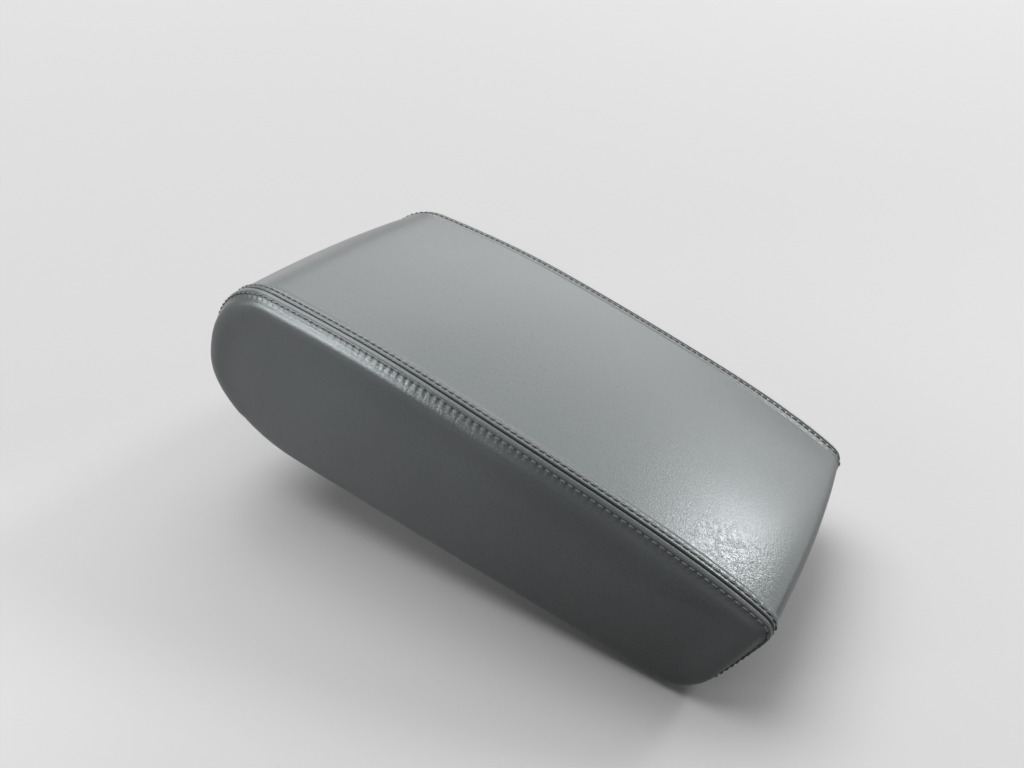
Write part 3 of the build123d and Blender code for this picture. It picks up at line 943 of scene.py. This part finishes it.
# %% Floor
bpy.ops.object.select_all(action="DESELECT")
floor_size, floor_drop = 30, 0.3 * mm
bpy.ops.mesh.primitive_plane_add(size=floor_size, location=(0, 0, -floor_drop))
floor = bpy.context.object
floor.name = "floor"
floor_finish, shader = new_finish("floor_paint", Roughness=0.7, Specular_IOR_Level=0.1)
seen = add(floor_finish, "ShaderNodeLightPath")
either = add(
    floor_finish,
    "ShaderNodeMath",
    links={0: seen.outputs["Is Camera Ray"], 1: seen.outputs["Is Glossy Ray"]},
    operation="MAXIMUM",
)
pale = add(
    floor_finish,
    "ShaderNodeMath",
    links={0: either.outputs["Value"], 1: seen.outputs["Is Transmission Ray"]},
    operation="MAXIMUM",
)
floor_tone = ramp(floor_finish, pale.outputs["Value"], (0.0, grey(0.12)), (1.0, grey(0.38)))
link(floor_finish, floor_tone, shader.inputs["Base Color"])
floor.data.materials.append(floor_finish)

# %% World
world = bpy.data.worlds.new("studio")
bpy.context.scene.world = world
world.use_nodes = True
backdrop = world.node_tree.nodes["Background"]
seen = add(world, "ShaderNodeLightPath")
either = add(
    world,
    "ShaderNodeMath",
    links={0: seen.outputs["Is Camera Ray"], 1: seen.outputs["Is Glossy Ray"]},
    operation="MAXIMUM",
)
pale = add(
    world,
    "ShaderNodeMath",
    links={0: either.outputs["Value"], 1: seen.outputs["Is Transmission Ray"]},
    operation="MAXIMUM",
)
link(world, ramp(world, pale.outputs["Value"], (0.0, grey(0.12)), (1.0, grey(0.8))), backdrop.inputs["Color"])


# %% Lamps
def heading(azimuth, height):
    """Direction with an azimuth from the X axis and a height above the floor, in degrees."""
    turn, rise = math.radians(azimuth), math.radians(height)
    return Vector((math.cos(rise) * math.cos(turn), math.cos(rise) * math.sin(turn), math.sin(rise)))


def aimed(name, kind, towards):
    """Lamp of a kind that shines against a direction."""
    lamp = bpy.data.objects.new(name, bpy.data.lights.new(name, kind))
    lamp.rotation_mode = "QUATERNION"
    lamp.rotation_quaternion = (-towards).to_track_quat("-Z", "Y")
    lamp.visible_camera = False
    bpy.context.scene.collection.objects.link(lamp)
    return lamp


def far_light(name, towards, width, level):
    """Light from far away with a width in the sky in degrees."""
    lamp = aimed(name, "SUN", towards)
    lamp.data.energy = level
    lamp.data.angle = math.radians(width)


def soft_box(name, aim, towards, distance, size, radiance):
    """Rectangular lamp with a grid that keeps its beam narrow."""
    lamp = aimed(name, "AREA", towards)
    lamp.location = aim + towards * distance
    lamp.data.shape = "RECTANGLE"
    lamp.data.size, lamp.data.size_y = size
    lamp.data.energy = radiance * math.pi * size[0] * size[1]
    lamp.data.spread = grid_spread


grid_spread = math.radians(34)
shoulder_place = Vector((-86, 70, 130)) * mm
far_light("sheen", heading(10, 47), 60, 2.4)
far_light("glint", heading(-31, 38), 13, 1.15)
far_light("wall", heading(70, 16), 50, 0.4)
far_light("front", heading(-40, 18), 36, 0.6)
far_light("ceiling", heading(88, 63), 46, 2.9)
soft_box("shoulder", shoulder_place, heading(148, 15), 0.45, (0.24, 0.4), 0.95)

# %% [markdown]
# ## Camera
# The camera looks down on the armrest from its front left, close by, with a wide lens: the near corner is
# large and the far end runs away. Its place and its three angles are set directly.

# %% Camera
camera_place = Vector((-347.5, -183.0, 325.1)) * mm
sensor_width, focal_share = 36, 770 / 1024
pitch, roll, yaw = math.radians(31.39), math.radians(-3.2), math.radians(29.12)
ahead = Vector((math.cos(yaw) * math.cos(pitch), math.sin(yaw) * math.cos(pitch), -math.sin(pitch)))
level = Vector((math.sin(yaw), -math.cos(yaw), 0))
down = ahead.cross(level)
rightward = level * math.cos(roll) + down * math.sin(roll)
upward = level * math.sin(roll) - down * math.cos(roll)
camera = bpy.data.objects.new("camera", bpy.data.cameras.new("camera"))
bpy.context.scene.collection.objects.link(camera)
camera.matrix_world = Matrix.Translation(camera_place) @ Matrix((rightward, upward, -ahead)).transposed().to_4x4()
camera.data.sensor_width = sensor_width
camera.data.lens = sensor_width * focal_share
camera.data.clip_start = 10 * mm
print("lens: %.1f mm" % camera.data.lens)
bpy.context.scene.camera = camera
bpy.context.scene.view_settings.view_transform = "Standard"
